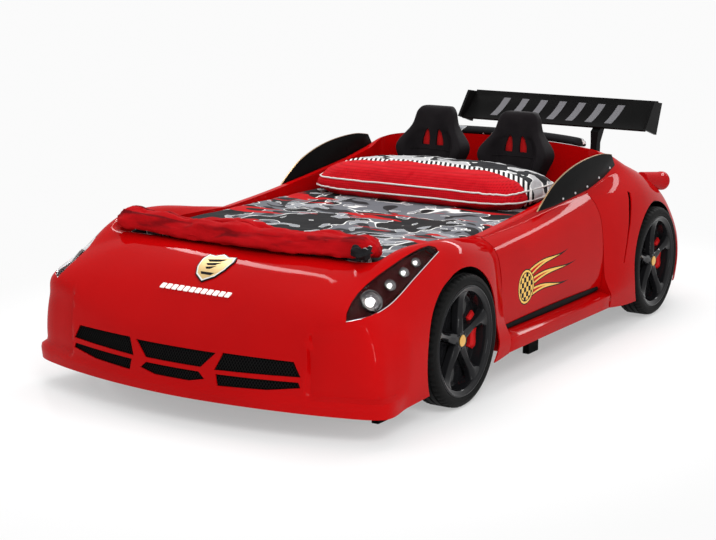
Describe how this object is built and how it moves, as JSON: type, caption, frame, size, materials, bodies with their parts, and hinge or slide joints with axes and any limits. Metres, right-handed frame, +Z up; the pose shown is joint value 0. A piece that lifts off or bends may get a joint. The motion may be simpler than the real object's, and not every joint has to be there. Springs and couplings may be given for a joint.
{
  "type": "car bed for children",
  "caption": "Racing-car bed for children: moulded car body on a boarded slat frame, with wheels, lamps, side windows, rear spoiler, switch panel, bedding and small seat cushions.",
  "frame": {"origin": "on the floor, below the middle of the whole bed's bounding box", "axes": "+Z up, -Y towards the car's nose, +X towards the car's left side"},
  "size_m": [1.2254, 2.5204, 0.7396],
  "materials": {
    "body_red": "gloss",
    "black_gloss": "gloss",
    "black_satin": "satin",
    "board": "satin",
    "slat": "satin",
    "steel": "satin",
    "tyre": "matte",
    "lens": "gloss",
    "reflector": "polished",
    "led": "matte",
    "gold": "satin",
    "tail_red": "gloss",
    "caliper_red": "gloss",
    "mattress_white": "matte",
    "print_grey": "matte",
    "fabric_red": "matte",
    "seat_black": "satin"
  },
  "bodies": {
    "bed": {"bed_feet": "board", "brake_calipers": "caliper_red", "foot_board": "board", "frame_bolts": "steel", "front_shell": "body_red", "grille_mesh": "black_satin", "head_board": "board", "headlamp_housing_left": "black_satin", "headlamp_housing_right": "black_satin", "headlamp_lens_left": "lens", "headlamp_lens_right": "lens", "headlamp_reflectors_left": "reflector", "headlamp_reflectors_right": "reflector", "hood_badge": "gold", "hood_leds": "led", "power_inlet": "steel", "rear_bolster": "print_grey", "rear_shell": "body_red", "rims": "black_gloss", "side_board_left": "board", "side_board_right": "board", "side_panel_left": "body_red", "side_panel_right": "body_red", "side_window_left": "black_satin", "side_window_right": "black_satin", "sill_batten_left": "black_satin", "sill_batten_right": "black_satin", "sill_left": "body_red", "sill_right": "body_red", "slat_ledger_left": "slat", "slat_ledger_right": "slat", "slats": "slat", "spoiler_end_plate_left": "black_satin", "spoiler_end_plate_right": "black_satin", "spoiler_pylon_left": "black_satin", "spoiler_pylon_right": "black_satin", "spoiler_wing": "black_satin", "switch_housing": "black_satin", "tail_board": "board", "tail_lamp_left": "tail_red", "tail_lamp_right": "tail_red", "tyres": "tyre", "wheel_caps": "gold"},
    "bedding": {"mattress": "mattress_white", "duvet": "print_grey", "blanket": "fabric_red", "pillow": "fabric_red", "seat_left": "seat_black", "seat_right": "seat_black", "seat_slots_left": "fabric_red", "seat_slots_right": "fabric_red"},
    "switch_rocker": {"switch_rocker": "black_satin"}
  },
  "joints": [
    {"name": "bedding_lift", "type": "slide", "parent": "bed", "child": "bedding", "axis": [0, 0, 1], "range_m": [0, 0.34]},
    {"name": "switch_hinge", "type": "hinge", "parent": "bed", "child": "switch_rocker", "pos_m": [-0.016, 1.158, 0.232], "axis": [1, 0, 0], "range_deg": [0, 16]}
  ]
}
